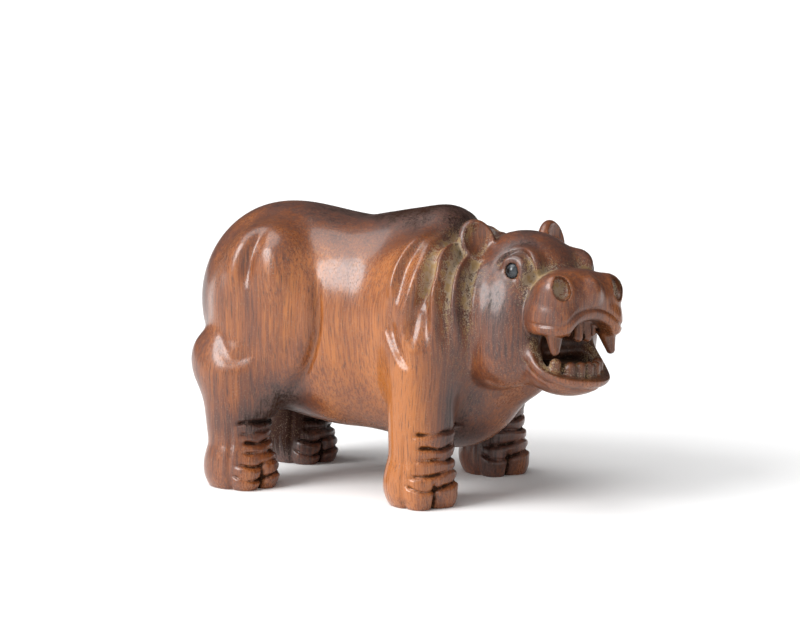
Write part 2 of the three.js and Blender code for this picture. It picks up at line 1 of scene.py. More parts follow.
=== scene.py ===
import bpy
import numpy as np
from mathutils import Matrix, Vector


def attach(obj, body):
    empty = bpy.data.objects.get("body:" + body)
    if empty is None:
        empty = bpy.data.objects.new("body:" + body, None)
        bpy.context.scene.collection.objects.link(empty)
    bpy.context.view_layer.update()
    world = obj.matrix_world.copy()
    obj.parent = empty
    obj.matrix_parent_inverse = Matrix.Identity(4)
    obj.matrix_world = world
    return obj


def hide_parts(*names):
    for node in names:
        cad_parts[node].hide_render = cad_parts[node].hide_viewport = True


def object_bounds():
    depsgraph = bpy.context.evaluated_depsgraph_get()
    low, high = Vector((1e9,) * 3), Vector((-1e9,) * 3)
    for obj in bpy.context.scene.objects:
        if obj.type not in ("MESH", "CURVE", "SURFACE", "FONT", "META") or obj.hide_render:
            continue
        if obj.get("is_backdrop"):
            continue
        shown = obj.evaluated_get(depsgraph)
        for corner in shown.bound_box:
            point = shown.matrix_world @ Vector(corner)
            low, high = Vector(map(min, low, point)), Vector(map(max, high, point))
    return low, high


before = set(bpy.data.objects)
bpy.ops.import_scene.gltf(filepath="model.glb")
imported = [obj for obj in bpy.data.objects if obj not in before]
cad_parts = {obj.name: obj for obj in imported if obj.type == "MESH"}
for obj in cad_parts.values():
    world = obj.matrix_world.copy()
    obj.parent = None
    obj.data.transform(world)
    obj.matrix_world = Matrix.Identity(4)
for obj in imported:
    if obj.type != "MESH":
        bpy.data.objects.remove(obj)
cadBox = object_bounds()
print("frame: loaded", len(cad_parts), "nodes")


# the carving, in mm in its own frame: x to the head, y to its left, z up from the ground
middle = np.array([6.4, 0.15, 0.0])  # the part's origin in that frame


# cubic step: 0 below a, 1 above b
def rise(a, b, t):
    s = np.clip((t - a) / (b - a), 0, 1)
    return s * s * (3 - 2 * s)


# bell curve: 1 at zero, 1/e at that width
def bell(t, width):
    return np.exp(-(t / width) ** 2)


# round or squarish ball: k = power mean of the coordinates over the radii, distance = (k - 1) / slope of k
def blob(p, at, size, power=2.0):
    size = np.asarray(size, float)
    q = np.abs(p - np.asarray(at, float)) / size + 1e-9
    if power == 2.0:
        k = np.sqrt((q * q).sum(1))
        return k * (k - 1) / np.sqrt(((q / size) ** 2).sum(1))
    k = (q ** power).sum(1) ** (1 / power)
    slope = (q / k[:, None]) ** (power - 1) / size
    return (k - 1) / np.sqrt((slope ** 2).sum(1))


# slab: an ellipse in the side view, power-blended with its thickness across
def slab(p, at, size, power):
    x, y, z = (p - np.asarray(at, float)).T
    flat = np.sqrt((x / size[0]) ** 2 + (z / size[2]) ** 2) + 1e-9
    deep = np.abs(y) / size[1] + 1e-9
    k = (flat ** power + deep ** power) ** (1 / power)
    slope = ((x / size[0] ** 2) ** 2 + (z / size[2] ** 2) ** 2) / flat ** 2
    bend = 2 * power - 2
    return (k - 1) / np.sqrt((flat / k) ** bend * slope + (deep / k) ** bend / size[1] ** 2)


# box with rounded edges: distance to the inner box less the rounding
def block(p, at, half, rounding):
    q = np.abs(p - np.asarray(at, float)) - np.asarray(half, float) + rounding
    return np.sqrt((np.maximum(q, 0) ** 2).sum(1)) + np.minimum(q.max(1), 0) - rounding


# rod: distance to the line from a to b less a thickness that runs from one end to the other
def rod(p, a, b, thick):
    a, b = np.asarray(a, float), np.asarray(b, float)
    t = np.clip((p - a) @ (b - a) / ((b - a) @ (b - a)), 0, 1)
    return np.sqrt(((p - a - t[:, None] * (b - a)) ** 2).sum(1)) - thick[0] - (thick[1] - thick[0]) * t


# union of two distances, with a seam rounded over the blend width
def join(a, b, blend):
    h = np.maximum(blend - np.abs(a - b), 0) / blend
    return np.minimum(a, b) - h * h * blend / 4


# the second form cut out of the first, with an edge rounded over the blend width
def carve(a, b, blend):
    h = np.maximum(blend - np.abs(a + b), 0) / blend
    return np.maximum(a, -b) + h * h * blend / 4


# both sides folded onto the left one: x and z as they are, y without its sign
def foldSides(p):
    return p * np.array([1, 0, 1]) + np.abs(p) * np.array([0, 1, 0])


# smooth curve through a few points (Catmull-Rom), sampled at even steps
def curveThrough(points, steps=14):
    points = np.asarray(points, float)
    ends = np.vstack([2 * points[0] - points[1], points, 2 * points[-1] - points[-2]])
    u = np.linspace(0, len(points) - 1, steps)
    i = np.minimum(u.astype(int), len(points) - 2)
    t = (u - i)[:, None]
    a, b, c, d = ends[i], ends[i + 1], ends[i + 2], ends[i + 3]
    square, cube = 2 * a - 5 * b + 4 * c - d, 3 * b - a - 3 * c + d
    return 0.5 * (2 * b + (c - a) * t + square * t ** 2 + cube * t ** 3)


# distance to a polyline and the share of its length at the nearest place
def alongCurve(q, path):
    best, share = np.full(len(q), 1e9), np.zeros(len(q))
    for i in range(len(path) - 1):
        step = path[i + 1] - path[i]
        t = np.clip((q - path[i]) @ step / (step @ step + 1e-12), 0, 1)
        away = ((q - path[i] - t[:, None] * step) ** 2).sum(1)
        closer = away < best
        best[closer] = away[closer]
        share[closer] = ((i + t) / (len(path) - 1))[closer]
    return np.sqrt(best), share


# trunk: rounded masses as (centre, radii, blend), a neck and a tail
trunk = {
    "rump": ((-10.9, 0, 22.6), (11.0, 11.6, 12.3), 0.01),
    "barrel": ((1.0, 0, 20.3), (15.5, 11.3, 13.2), 5),
    "chest": ((12.3, 0, 18.0), (10.2, 8.9, 12.8), 5),
    "hump": ((11.0, 0, 28.3), (5.2, 7.0, 7.0), 3),
    "withers": ((6.5, 0, 26.0), (7.5, 8.0, 8.0), 3),
}
boxy = {"barrel": 2.5}  # power of a squarish mass
neck = {"from": (13, 0, 22.8), "to": (19, -1.8, 22.8), "thick": (8.9, 7.9), "blend": 3}
dewlap = {"from": (16, 0, 16.5), "to": (20.8, -0.4, 16.6), "thick": (5.5, 4.6), "blend": 2.5}
shoulder = {"at": (11.9, 8.9, 22.3), "size": (6.0, 4.6, 9.6), "blend": 4}
tail = {
    "path": ((-16, 0, 31.2), (-18.5, 0, 30.0), (-20.4, 0, 27.8), (-21.6, 0, 24.0), (-21.3, 0, 20.6)),
    "thick": 1.05, "blend": 0.5,
}

# legs: the feet in plan as (x, y, side, fore), then the masses of a left hind and fore leg
feet = ((-12.4, -9.9, -1, False), (-13.2, 8.2, 1, False), (12.5, -11.0, -1, True), (12.7, 11.3, 1, True))
hindLeg = {
    "thigh": ((-9.2, 6.0, 21.6), (7.8, 6.7, 11.6)), "thighPower": 3.2,
    "hock": ((-15.2, 8.0, 15.9), (4.9, 4.2, 4.4)), "hockBlend": 2,
    "shank": (-13.5, 8.8, 13.5), "thick": (4.8, 3.7), "back": 0.7, "shankBlend": 3, "blend": 1.3,
    "toeAngle": 58, "splitAngle": 27, "heelAngle": 88, "top": 9.0,
    "creases": (1.7, 3.2, 4.6, 5.9, 7.1, 8.3),
}
foreLeg = {
    "shank": (12.3, 10.3, 18.5), "thick": (4.3, 3.85), "back": 0, "blend": 1.6,
    "toeAngle": 68, "splitAngle": 41, "heelAngle": 98, "top": 9.8,
    "creases": (2.8, 4.3, 5.9, 7.5, 9.2),
}
footForm = {
    "ankle": 5.0,
    "pad": ((-0.2, 0, 2.4), (4.45, 4.2, 4.2), 1.4), "heel": ((-1.4, 0, 2.2), (3.6, 3.5, 3.6), 1.2),
    "toeReach": (2.75, 2.65, 1.7), "toeSize": (1.95, 1.95, 2.5), "toeBlend": 0.45,
    "split": (0.30, 0.5), "heelLine": (0.3, 0.2),  # width, depth
    "crease": (0.25, 0.5), "topCrease": (0.36, 0.55),
    "roll": 0.14, "rollAt": 0.55, "rollWidth": 0.4,  # the swelling under each crease
    "overToes": 0.3, "toeSpread": 30, "wave": 0.16, "ripple": 0.06, "shorten": 20, "fade": 16,
    "splitTop": (2.4, 4.0), "bowTop": (3, 6), "heelTop": 2, "core": (1.0, 2.2), "edge": (5.2, 6.4),
    "region": (8.5, 7.5, 13),
}


# a leg: a tapered rod, and behind it a slab for the thigh and a ball for the hock
def legForm(p, x, y, side, fore):
    form = foreLeg if fore else hindLeg
    flip = np.array([1, side, 1])
    lower = rod(p * flip, form["shank"], (x - form["back"], y * side, footForm["ankle"]), form["thick"])
    if fore:
        return lower
    upper = slab(p * flip, *form["thigh"], form["thighPower"])
    upper = join(upper, blob(p * flip, *form["hock"]), form["hockBlend"])
    return join(upper, lower, form["shankBlend"])


# the points in a foot's own region
def nearFoot(p, x, y):
    length, width, height = footForm["region"]
    return (np.abs(p[:, 0] - x) < length) & (np.abs(p[:, 1] - y) < width) & (p[:, 2] < height)


# cuts of a foot: two toe splits, an upright line behind, and creases of uneven length and depth
# across the front, each a bell of the distance to its line
def footCuts(q, form):
    f, (u, v, z) = footForm, q.T
    r = np.sqrt(u * u + v * v) + 1e-6
    angle = np.arctan2(v, u)
    turned = np.degrees(np.abs(angle))
    width, depth = f["split"]
    low = 1 - rise(*f["splitTop"], z)
    cuts = depth * bell(np.radians(turned - form["splitAngle"]) * r, width) * low
    width, depth = f["heelLine"]
    upTo = 1 - rise(form["top"] - f["heelTop"], form["top"], z)
    cuts += depth * bell(np.radians(turned - form["heelAngle"]) * r, width) * upTo
    bow = f["overToes"] * np.cos(np.radians(turned * 360 / (2 * form["splitAngle"] + f["toeSpread"])))
    bow *= 1 - rise(*f["bowTop"], z)
    for i, height in enumerate(form["creases"]):
        width, depth = f["topCrease"] if height == form["creases"][-1] else f["crease"]
        uneven = 0.75 + 0.35 * np.sin(2.3 * angle + 2.4 * i) * np.sin(4.1 * angle - 1.3 * i)
        away = z - bow - height - f["wave"] * np.sin(2 * angle + 1.9 * i)
        away -= f["ripple"] * np.sin(7 * angle + 2.7 * i)
        end = form["heelAngle"] - f["shorten"] * (0.5 + 0.5 * np.sin(5.3 * i + 2 * np.sign(v)))
        ahead = (1 - rise(end - f["fade"], end, turned)) * rise(*f["core"], r)
        swelling = f["roll"] * bell(away + f["rollAt"], f["rollWidth"])
        cuts += (depth * uneven * bell(away, width * uneven) - swelling) * ahead
    return cuts * (1 - rise(*f["edge"], r))


# a foot: pad, heel and three toes, then its cuts
def addFoot(d, p, x, y, side, fore):
    near = nearFoot(p, x, y)
    if not near.any():
        return d
    form = foreLeg if fore else hindLeg
    q = p[near] - np.array([x, y, 0])
    at, size, blend = footForm["pad"]
    e = join(d[near], blob(q, at, size), blend)
    if not fore:
        at, size, blend = footForm["heel"]
        e = join(e, blob(q, at, size), blend)
    reach, spread, up = footForm["toeReach"]
    for turn in np.radians(np.array([-1, 0, 1]) * form["toeAngle"]):
        toe = blob(q, (reach * np.cos(turn), spread * np.sin(turn), up), footForm["toeSize"])
        e = join(e, toe, footForm["toeBlend"])
    d = d.copy()
    d[near] = e + footCuts(q, form)
    return d


# folds of the skin, drawn in the side view as (points, width, depth, over the nape);
# a ridge has a negative depth
folds = (
    (((12.6, 34.2), (10.9, 31.2), (9.8, 28.6), (9.6, 25.8), (10.9, 22.4)), 0.65, -0.55, False),
    (((12.8, 33.6), (11.6, 30.4), (10.9, 27.6), (11, 23.6)), 0.8, 0.45, False),
    (((15, 33.6), (13.7, 30), (12.4, 27), (11.5, 23.2), (11.5, 18)), 1.0, -0.6, False),
    (((15, 30.6), (13.8, 26.6), (12.8, 23.4), (12.8, 18.6)), 0.6, 0.55, False),
    (((14.6, 28.6), (15.1, 24.2), (15.6, 17.4)), 0.8, -0.5, False),
    (((8.6, 23.6), (10.6, 19.7), (13, 16.4)), 0.7, 0.55, False),
    (((16.2, 35.6), (14.4, 32.7), (13.9, 29.4), (13.8, 26), (14.6, 17)), 0.75, 0.85, True),
    (((17.4, 35.8), (15.4, 32.2), (15, 29.1), (15.3, 18.4)), 0.5, -0.4, True),
    (((18, 35.4), (16.2, 31.6), (16.1, 27.4), (16.5, 17.2)), 0.5, 0.6, True),
    (((18.8, 35), (17.2, 30.6), (17.1, 25), (17.7, 16.4)), 0.5, -0.35, True),
    (((20, 35), (18.1, 30.6), (18.1, 25.7), (18.8, 15.6)), 0.5, 0.6, True),
    (((-8.7, 33.4), (-9.6, 30.5), (-10.3, 27.6), (-10.3, 24.6)), 0.8, 0.55, False),
    (((-10.2, 33.3), (-11.8, 30.4), (-12.5, 27.2), (-12.3, 23.5)), 1.5, -0.6, False),
    (((-7.3, 33.0), (-6.8, 30.0), (-6.5, 27.0), (-6.4, 22.6)), 2.4, -0.7, False),
    (((-14.8, 21.8), (-13.4, 17.4), (-11.2, 16.4), (-7.2, 19.4)), 0.8, 0.22, False),
    (((-2.4, 28.8), (-1.5, 25.4), (-1.2, 21.5), (-2.1, 17.4), (-4.3, 13.7), (-7.5, 10.8)), 0.55, 0.5, False),
    (((-3.5, 28.8), (-2.7, 25.4), (-2.4, 21.5), (-3.3, 17.7), (-5.4, 14.3), (-8.3, 11.6)), 0.9, -0.3, False),
)
foldFade = {"flank": (3.5, 7), "nape": (2, 8), "napeShare": 0.6, "ends": (0, 0.35), "reach": 3, "skin": 2.5}
foldPaths = [(curveThrough(points), width, depth, nape) for points, width, depth, nape in folds]


# depth of the folds: a bell across each line, fading at its ends and towards the middle of the back
def foldDepth(p):
    total = np.zeros(len(p))
    f = foldFade
    onFlank = rise(*f["flank"], np.abs(p[:, 1]))
    onNape = 1 - f["napeShare"] * rise(*f["nape"], p[:, 1])
    side = p[:, [0, 2]]
    for path, width, depth, nape in foldPaths:
        reach = f["reach"] * width
        near = np.all((side > path.min(0) - reach) & (side < path.max(0) + reach), axis=1)
        if near.any():
            away, share = alongCurve(side[near], path)
            ends = rise(*f["ends"], share) * rise(*f["ends"], 1 - share)
            total[near] += depth * bell(away, width) * ends * (onNape if nape else onFlank)[near]
    return total


# head, in its own frame: origin between the brows, x along the nose, y to its left
headPlace = {"at": (26.2, -3.1, 30.6), "turn": 26.0, "roll": 4.0, "blend": 0.6, "sunk": 6, "reach": 22}
headForm = {
    "skull": ((-4.2, 0, -4.4), (7.6, 6.7, 6.6)),
    "jowl": ((-4.2, 3.9, -9.9), (6.6, 4.8, 7.0)), "jowlPower": 2.4, "jowlBlend": 3,
    "face": ((0, 0, -6.8), (4.6, 4.6, 4.1)), "faceBlend": 2,
    "brow": ((-0.1, 4.2, -1.75), (2.6, 1.85, 2.15)), "browBlend": 1.0,
    "jaw": ((3.6, 0, -12.9), (5.9, 5.5, 4.05)), "jawBlend": 1.2,
    "jawRoot": ((-0.5, 0, -11.9), (5.0, 5.0, 3.7)), "jawRootBlend": 2,
}
muzzleForm = {
    "ball": ((4.2, 0, -5.8), (3.75, 6.1, 4.15)), "power": 2.3, "blend": 0.35,
    "cheek": ((4.3, 3.95, -7.9), (3.6, 2.15, 2.6)), "cheekBlend": 1.8,
    "nostrilMound": ((5.2, 4.2, -4.2), (1.9, 1.9, 1.9)), "moundBlend": 0.9,
    "middle": ((6.9, 0, -4.3), (1.6, 1.3, 1.9)), "middleBlend": 0.7,
    "nostril": (6.45, 4.25, -3.85), "nostrilFacing": (0.84, 0.12, 0.52), "nostrilSize": (0.75, 1.22, 1.5),
    "rim": 0.16, "rimAt": 0.1, "rimWidth": 0.5, "pitBlend": 0.5,
}
mouthForm = {
    "corner": 2.7, "reach": 6.3, "top": -9.5, "drop": 5.0, "blend": 0.35,
    "arch": ((9.0, 0, -10.0), (4.6, 3.7, 2.7)), "archBlend": 0.8,
    "throat": ((5.2, 0, -11.0), (5.0, 4.0, 3.0)), "throatBlend": 0.6,
    "tray": ((4.3, 0, -12.9), (3.9, 4.0, 2.3)), "trayBlend": 0.4,
    "tongue": ((4.1, 0, -14.3), (2.9, 2.8, 1.5)), "tongueRound": 0.7, "tongueBlend": 0.3,
    "gum": ((4.6, 0, -7.3), (1.3, 2.9, 1.1)), "gumRound": 0.5, "gumBlend": 0.4,
    "lipRoll": 0.16, "lipHeight": 0.55, "lipWidth": 0.6, "lipSpan": (2.2, 4.6), "lipLean": 0.5,
    "lipLine": 0.2, "lipLineAt": 1.3, "lipLineWidth": 0.2,
}
teeth = (  # root, tip, thickness at both, blend; each is there on both sides
    ((5.7, 0.66, -7.8), (6.1, 0.7, -9.65), (0.82, 0.58), 0.1),
    ((5.3, 1.98, -7.8), (5.6, 2.02, -9.2), (0.7, 0.46), 0.1),
    ((5.6, 4.2, -8.6), (6.35, 4.5, -11.2), (1.3, 0.55), 0.3),
    ((6.75, 0.66, -15.2), (6.8, 0.66, -13.1), (0.72, 0.6), 0.15),
    ((6.45, 1.98, -15.2), (6.5, 1.98, -13.1), (0.72, 0.6), 0.15),
    ((5.0, 3.3, -14.9), (5.4, 3.4, -12.9), (1.05, 0.7), 0.25),
)
earForm = {
    "at": (-6.8, 6.0, 0.3), "facing": (0.93, 0.27, 0.25), "upward": (-0.15, 0.25, 1.0),
    "disc": (1.3, 2.45, 3.05), "cup": ((1.2, 0.1, 0.3), (1.35, 1.95, 2.4)), "cupBlend": 0.2, "blend": 0.4,
}
eyeForm = {
    "at": (-0.4, 5.55, -2.4), "facing": (0.3, 0.94, 0.15), "radius": 0.99, "seat": 1.06, "seatBlend": 0.1,
    "hollowRing": 2.3, "hollowWidth": 0.45, "hollowDepth": 0.8, "hollowReach": 1.6,
    "lidRing": 1.4, "lidOut": 0.25, "lidThin": 0.12, "lidThick": 0.52, "lidBlend": 0.3,
    "lidSpan": (-0.75, 0.35), "lidTilt": 0.6, "lidSoft": 0.3,
}


# three axes of a small form: its facing, then along, then up
def axesOf(facing, upward=(0, 0, 1)):
    out = np.asarray(facing, float) / np.linalg.norm(facing)
    up = np.asarray(upward, float) - out * (out @ np.asarray(upward, float))
    up = up / np.linalg.norm(up)
    return np.stack([out, np.cross(up, out), up])


# axes of the head: turned about z, then rolled about its own nose
def headAxes():
    turn, roll = np.radians(headPlace["turn"]), np.radians(headPlace["roll"])
    ahead = np.array([np.cos(turn), -np.sin(turn), 0])
    left = np.array([np.sin(turn), np.cos(turn), 0])
    up = np.array([0, 0, 1.0])
    across = np.cos(roll) * left - np.sin(roll) * up
    return np.stack([ahead, across, np.cos(roll) * up + np.sin(roll) * left])


headFrame = headAxes()
eyeAxes = axesOf(eyeForm["facing"])
earAxes = axesOf(earForm["facing"], earForm["upward"])
nostrilAxes = axesOf(muzzleForm["nostrilFacing"])


# from the head's frame to the carving's: turn by the axes, then shift
def fromHead(q):
    return np.asarray(q, float) @ headFrame + np.asarray(headPlace["at"])


# mouth: a rounded side cut below the lip line, an arch under the nose and a cave behind
def mouthCut(q):
    x, z = q[:, 0], q[:, 2]
    m = mouthForm
    across, below = (x - m["corner"] - m["reach"]) / m["reach"], (z - m["top"]) / m["drop"]
    cut = np.maximum((np.sqrt(across ** 2 + below ** 2) - 1) * m["drop"], z - m["top"])
    cut = join(cut, blob(q, *m["arch"]), m["archBlend"])
    return join(cut, blob(q, *m["throat"]), m["throatBlend"])


# nose: a squarish ball with cheeks, nostril mounds and a bump between them
def muzzle(q, s):
    m = muzzleForm
    d = blob(q, *m["ball"], m["power"])
    d = join(d, blob(s, *m["cheek"]), m["cheekBlend"])
    d = join(d, blob(s, *m["nostrilMound"]), m["moundBlend"])
    return join(d, blob(q, *m["middle"]), m["middleBlend"])


# eye: a hollow under the brow, a rolled lid round the bead and the bead's seat
def addEye(d, s):
    e = eyeForm
    out, along, up = ((s - np.asarray(e["at"])) @ eyeAxes.T).T
    ring = np.sqrt(along ** 2 + up ** 2)
    above = rise(*e["lidSpan"], (up - e["lidTilt"] * along) / (ring + e["lidSoft"]))
    hollow = bell(ring - e["hollowRing"], e["hollowWidth"]) * bell(out, e["hollowReach"])
    d = d + e["hollowDepth"] * hollow * above
    lid = np.sqrt((ring - e["lidRing"]) ** 2 + (out - e["lidOut"]) ** 2)
    d = join(d, lid - e["lidThin"] - (e["lidThick"] - e["lidThin"]) * above, e["lidBlend"])
    return carve(d, np.sqrt(out ** 2 + ring ** 2) - e["seat"], e["seatBlend"])


# ear: a disc leaning forward with a cup cut into its face
def earForms(s):
    e = earForm
    q = (s - np.asarray(e["at"])) @ earAxes.T
    return carve(blob(q, (0, 0, 0), e["disc"]), blob(q, *e["cup"]), e["cupBlend"])


# whole head; s has both sides folded onto the left one
def headField(q):
    h, m = headForm, mouthForm
    s = foldSides(q)
    d = blob(q, *h["skull"])
    d = join(d, blob(s, *h["jowl"], h["jowlPower"]), h["jowlBlend"])
    d = join(d, blob(q, *h["face"]), h["faceBlend"])
    d = join(d, blob(s, *h["brow"]), h["browBlend"])
    jaw = join(blob(q, *h["jaw"]), blob(q, *h["jawRoot"]), h["jawRootBlend"])
    d = join(d, jaw, h["jawBlend"])
    d = join(d, muzzle(q, s), muzzleForm["blend"])
    cut = mouthCut(q)
    onLip = rise(*m["lipSpan"], q[:, 0] - m["lipLean"] * (q[:, 2] - m["top"]))
    d = d - m["lipRoll"] * bell(cut - m["lipHeight"], m["lipWidth"]) * onLip
    d = d + m["lipLine"] * bell(cut - m["lipLineAt"], m["lipLineWidth"]) * onLip
    d = carve(d, cut, m["blend"])
    d = carve(d, blob(q, *m["tray"]), m["trayBlend"])
    d = join(d, block(q, *m["tongue"], m["tongueRound"]), m["tongueBlend"])
    d = join(d, block(q, *m["gum"], m["gumRound"]), m["gumBlend"])
    for root, tip, thick, blend in teeth:
        d = join(d, rod(s, root, tip, thick), blend)
    n = muzzleForm
    pit = blob((s - np.asarray(n["nostril"])) @ nostrilAxes.T, (0, 0, 0), n["nostrilSize"])
    d = d - n["rim"] * bell(pit - n["rimAt"], n["rimWidth"])
    d = carve(d, pit, n["pitBlend"])
    d = addEye(d, s)
    return join(d, earForms(s), earForm["blend"])


# whole carving: trunk, legs, folds, feet, tail and head, cut flat at the ground
def carving(p):
    d = np.full(len(p), 1e9)
    for name, (at, size, blend) in trunk.items():
        d = join(d, blob(p, at, size, boxy.get(name, 2)), blend)
    for form in (neck, dewlap):
        d = join(d, rod(p, form["from"], form["to"], form["thick"]), form["blend"])
    folded = foldSides(p)
    d = join(d, blob(folded, shoulder["at"], shoulder["size"]), shoulder["blend"])
    for foot in feet:
        d = join(d, legForm(p, *foot), (foreLeg if foot[3] else hindLeg)["blend"])
    near = np.abs(d) < foldFade["skin"]
    d[near] += foldDepth(p[near])
    for foot in feet:
        d = addFoot(d, p, *foot)
    for a, b in zip(tail["path"][:-1], tail["path"][1:]):
        d = join(d, rod(p, a, b, (tail["thick"],) * 2), tail["blend"])
    q = (p - np.asarray(headPlace["at"])) @ headFrame.T
    near = ((q + np.array([0, 0, headPlace["sunk"]])) ** 2).sum(1) < headPlace["reach"] ** 2
    d[near] = join(d[near], headField(q[near]), headPlace["blend"])
    return np.maximum(d, -p[:, 2])


meshing = {
    "low": (-25.2, -18.0, -1.2), "high": (38.4, 18.0, 37.8),  # mm, the space that is searched
    "cell": 0.5, "headCell": 0.31, "coarse": 4, "closeBy": 1.8, "atOnce": 300000,
    "headBox": ((19.0, -16.0, 13.0), (38.4, 9.0, 36.0)),
    "tolerance": 0.012, "passes": 2, "shortest": 0.13, "trianglesAtMost": 196000,
    "firstMoves": (0.2, 0.1), "lastMove": 0.12,  # mm, how far a point may move onto the surface
}


# grid lines of one axis: the finer step inside the head's range, the plain one outside, in whole coarse cells
def gridLines(axis):
    m = meshing
    low, high = m["low"][axis], m["high"][axis]
    fineLow, fineHigh = m["headBox"][0][axis], m["headBox"][1][axis]
    lines, at = [low], low
    while at < high:
        step = m["headCell"] if fineLow < at < fineHigh else m["cell"]
        lines.extend(at + step * np.arange(1, m["coarse"] + 1))
        at = lines[-1]
    return np.array(lines)


# values on the grid: a coarse pass everywhere, the fine one only in coarse cells close to the surface
def gridValues(field, lines):
    m = meshing
    n = m["coarse"]
    rough = [a[::n] for a in lines]
    points = np.stack(np.meshgrid(*rough, indexing="ij"), -1)
    coarse = field(points.reshape(-1, 3)).reshape(points.shape[:3])
    reach = m["closeBy"] * n * m["cell"]
    close = np.abs(coarse) < reach
    cells = np.zeros(np.array(close.shape) - 1, bool)
    for i, j, k in np.ndindex(2, 2, 2):
        cells |= close[i:close.shape[0] - 1 + i, j:close.shape[1] - 1 + j, k:close.shape[2] - 1 + k]
    spread = lambda a: a.repeat(n, 0).repeat(n, 1).repeat(n, 2)
    values = np.pad(spread(coarse[:-1, :-1, :-1]), ((0, 1),) * 3, mode="edge")
    wanted = np.pad(spread(cells), ((0, 1),) * 3)
    for axis in range(3):
        wanted = wanted | np.roll(wanted, 1, axis)
    index = np.argwhere(wanted)
    places = np.stack([lines[i][index[:, i]] for i in range(3)], 1)
    parts = np.array_split(places, len(places) // m["atOnce"] + 1)
    values[wanted] = np.concatenate([field(part) for part in parts])
    return values


# surface net: one point in each cell that the surface crosses, at the mean of its edge crossings, and a
# quad round each crossed edge, split into two triangles along its shorter diagonal
def surfaceNet(values, lines):
    inside = values < 0
    cells = np.array(values.shape) - 1
    corners, crossings, turned = [], [], []
    for a in range(3):
        b, c = (a + 1) % 3, (a + 2) % 3
        first, last = [slice(None)] * 3, [slice(None)] * 3
        first[a], last[a] = slice(None, -1), slice(1, None)
        edge = np.argwhere(inside[tuple(first)] != inside[tuple(last)])
        edge = edge[(edge[:, b] > 0) & (edge[:, c] > 0) & (edge[:, b] < cells[b]) & (edge[:, c] < cells[c])]
        far = edge + np.eye(3, dtype=int)[a]
        f0, f1 = values[tuple(edge.T)], values[tuple(far.T)]
        p0 = np.stack([lines[i][edge[:, i]] for i in range(3)], 1)
        p1 = np.stack([lines[i][far[:, i]] for i in range(3)], 1)
        crossings.append(p0 + (f0 / (f0 - f1))[:, None] * (p1 - p0))
        around = []
        for db, dc in ((-1, -1), (0, -1), (0, 0), (-1, 0)):
            cell = edge.copy()
            cell[:, b] += db
            cell[:, c] += dc
            around.append(np.ravel_multi_index(cell.T, cells))
        corners.append(np.stack(around, 1))
        turned.append(f0 < 0)
    corners, crossings, turned = np.concatenate(corners), np.concatenate(crossings), np.concatenate(turned)
    used, number = np.unique(corners.ravel(), return_inverse=True)
    number = number.reshape(corners.shape)
    share = np.bincount(number.ravel())
    sums = [np.bincount(number.ravel(), weights=crossings[:, i].repeat(4)) for i in range(3)]
    points = np.stack(sums, 1) / share[:, None]
    quads = np.where(turned[:, None], number, number[:, ::-1])
    diagonal = lambda i, j: ((points[quads[:, i]] - points[quads[:, j]]) ** 2).sum(1)
    swap = diagonal(0, 2) > diagonal(1, 3)
    quads[swap] = np.roll(quads[swap], 1, axis=1)
    return points, np.concatenate([quads[:, [0, 1, 2]], quads[:, [0, 2, 3]]])


# slope of the field by central differences
def slopeOf(field, points, step=0.02):
    parts = [(field(points + d) - field(points - d)) / (2 * step) for d in np.eye(3) * step]
    return np.stack(parts, 1)


# Newton step onto the surface: back along the slope by value / slope squared, by no more than the limit
def settle(field, points, limit):
    value, slope = field(points), slopeOf(field, points)
    move = (value / ((slope ** 2).sum(1) + 1e-6))[:, None] * slope
    size = np.sqrt((move ** 2).sum(1, keepdims=True)) + 1e-12
    return points - move * np.minimum(1, limit / size)


# edges of the triangles: sorted pairs, their number for each triangle's sides 01, 12 and 20
def edgesOf(triangles, count):
    sides = np.stack([triangles, np.roll(triangles, -1, axis=1)], 2).reshape(-1, 2)
    sides = np.sort(sides, axis=1)
    keys, number = np.unique(sides[:, 0] * count + sides[:, 1], return_inverse=True)
    return np.stack([keys // count, keys % count], 1), number.reshape(-1, 3)


# refinement: an edge whose middle lies off the surface by more than the tolerance is halved, with the longest
# edge of each triangle that it touches, and every triangle is cut to suit
def refine(field, points, triangles):
    m = meshing
    edges, sides = edgesOf(triangles, len(points))
    ends = points[edges]
    length = np.sqrt(((ends[:, 0] - ends[:, 1]) ** 2).sum(1))
    centre = ends.mean(1)
    off = np.abs(field(centre))
    off[length < 2 * m["shortest"]] = 0
    room = max((m["trianglesAtMost"] - len(triangles)) // 3, 0)
    limit = max(m["tolerance"], np.sort(off)[-room] if room and room < len(off) else m["tolerance"])
    halved = off > limit if room else off > 1e9
    longest = sides[np.arange(len(sides)), length[sides].argmax(1)]
    for _ in range(2):
        halved[longest[halved[sides].any(1)]] = True
    fresh = np.full(len(edges), -1)
    fresh[halved] = len(points) + np.arange(halved.sum())
    moved = settle(field, centre[halved], m["lastMove"])
    points = np.concatenate([points, moved])
    halfway = fresh[sides]
    count = (halfway >= 0).sum(1)
    pieces = [triangles[count == 0]]
    full = count == 3
    (a, b, c), (ab, bc, ca) = triangles[full].T, halfway[full].T
    pieces += [np.stack(t, 1) for t in ((a, ab, ca), (ab, b, bc), (ca, bc, c), (ab, bc, ca))]
    for i in range(3):
        one = (count == 1) & (halfway[:, i] >= 0)
        (a, b, c), ab = np.roll(triangles[one], -i, axis=1).T, halfway[one, i]
        pieces += [np.stack(t, 1) for t in ((a, ab, c), (ab, b, c))]
        two = (count == 2) & (halfway[:, i] < 0)
        a, b, c = np.roll(triangles[two], -i, axis=1).T
        bc, ca = halfway[two, (i + 1) % 3], halfway[two, (i + 2) % 3]
        pieces += [np.stack(t, 1) for t in ((a, b, bc), (a, bc, ca), (ca, bc, c))]
    return points, np.concatenate(pieces)


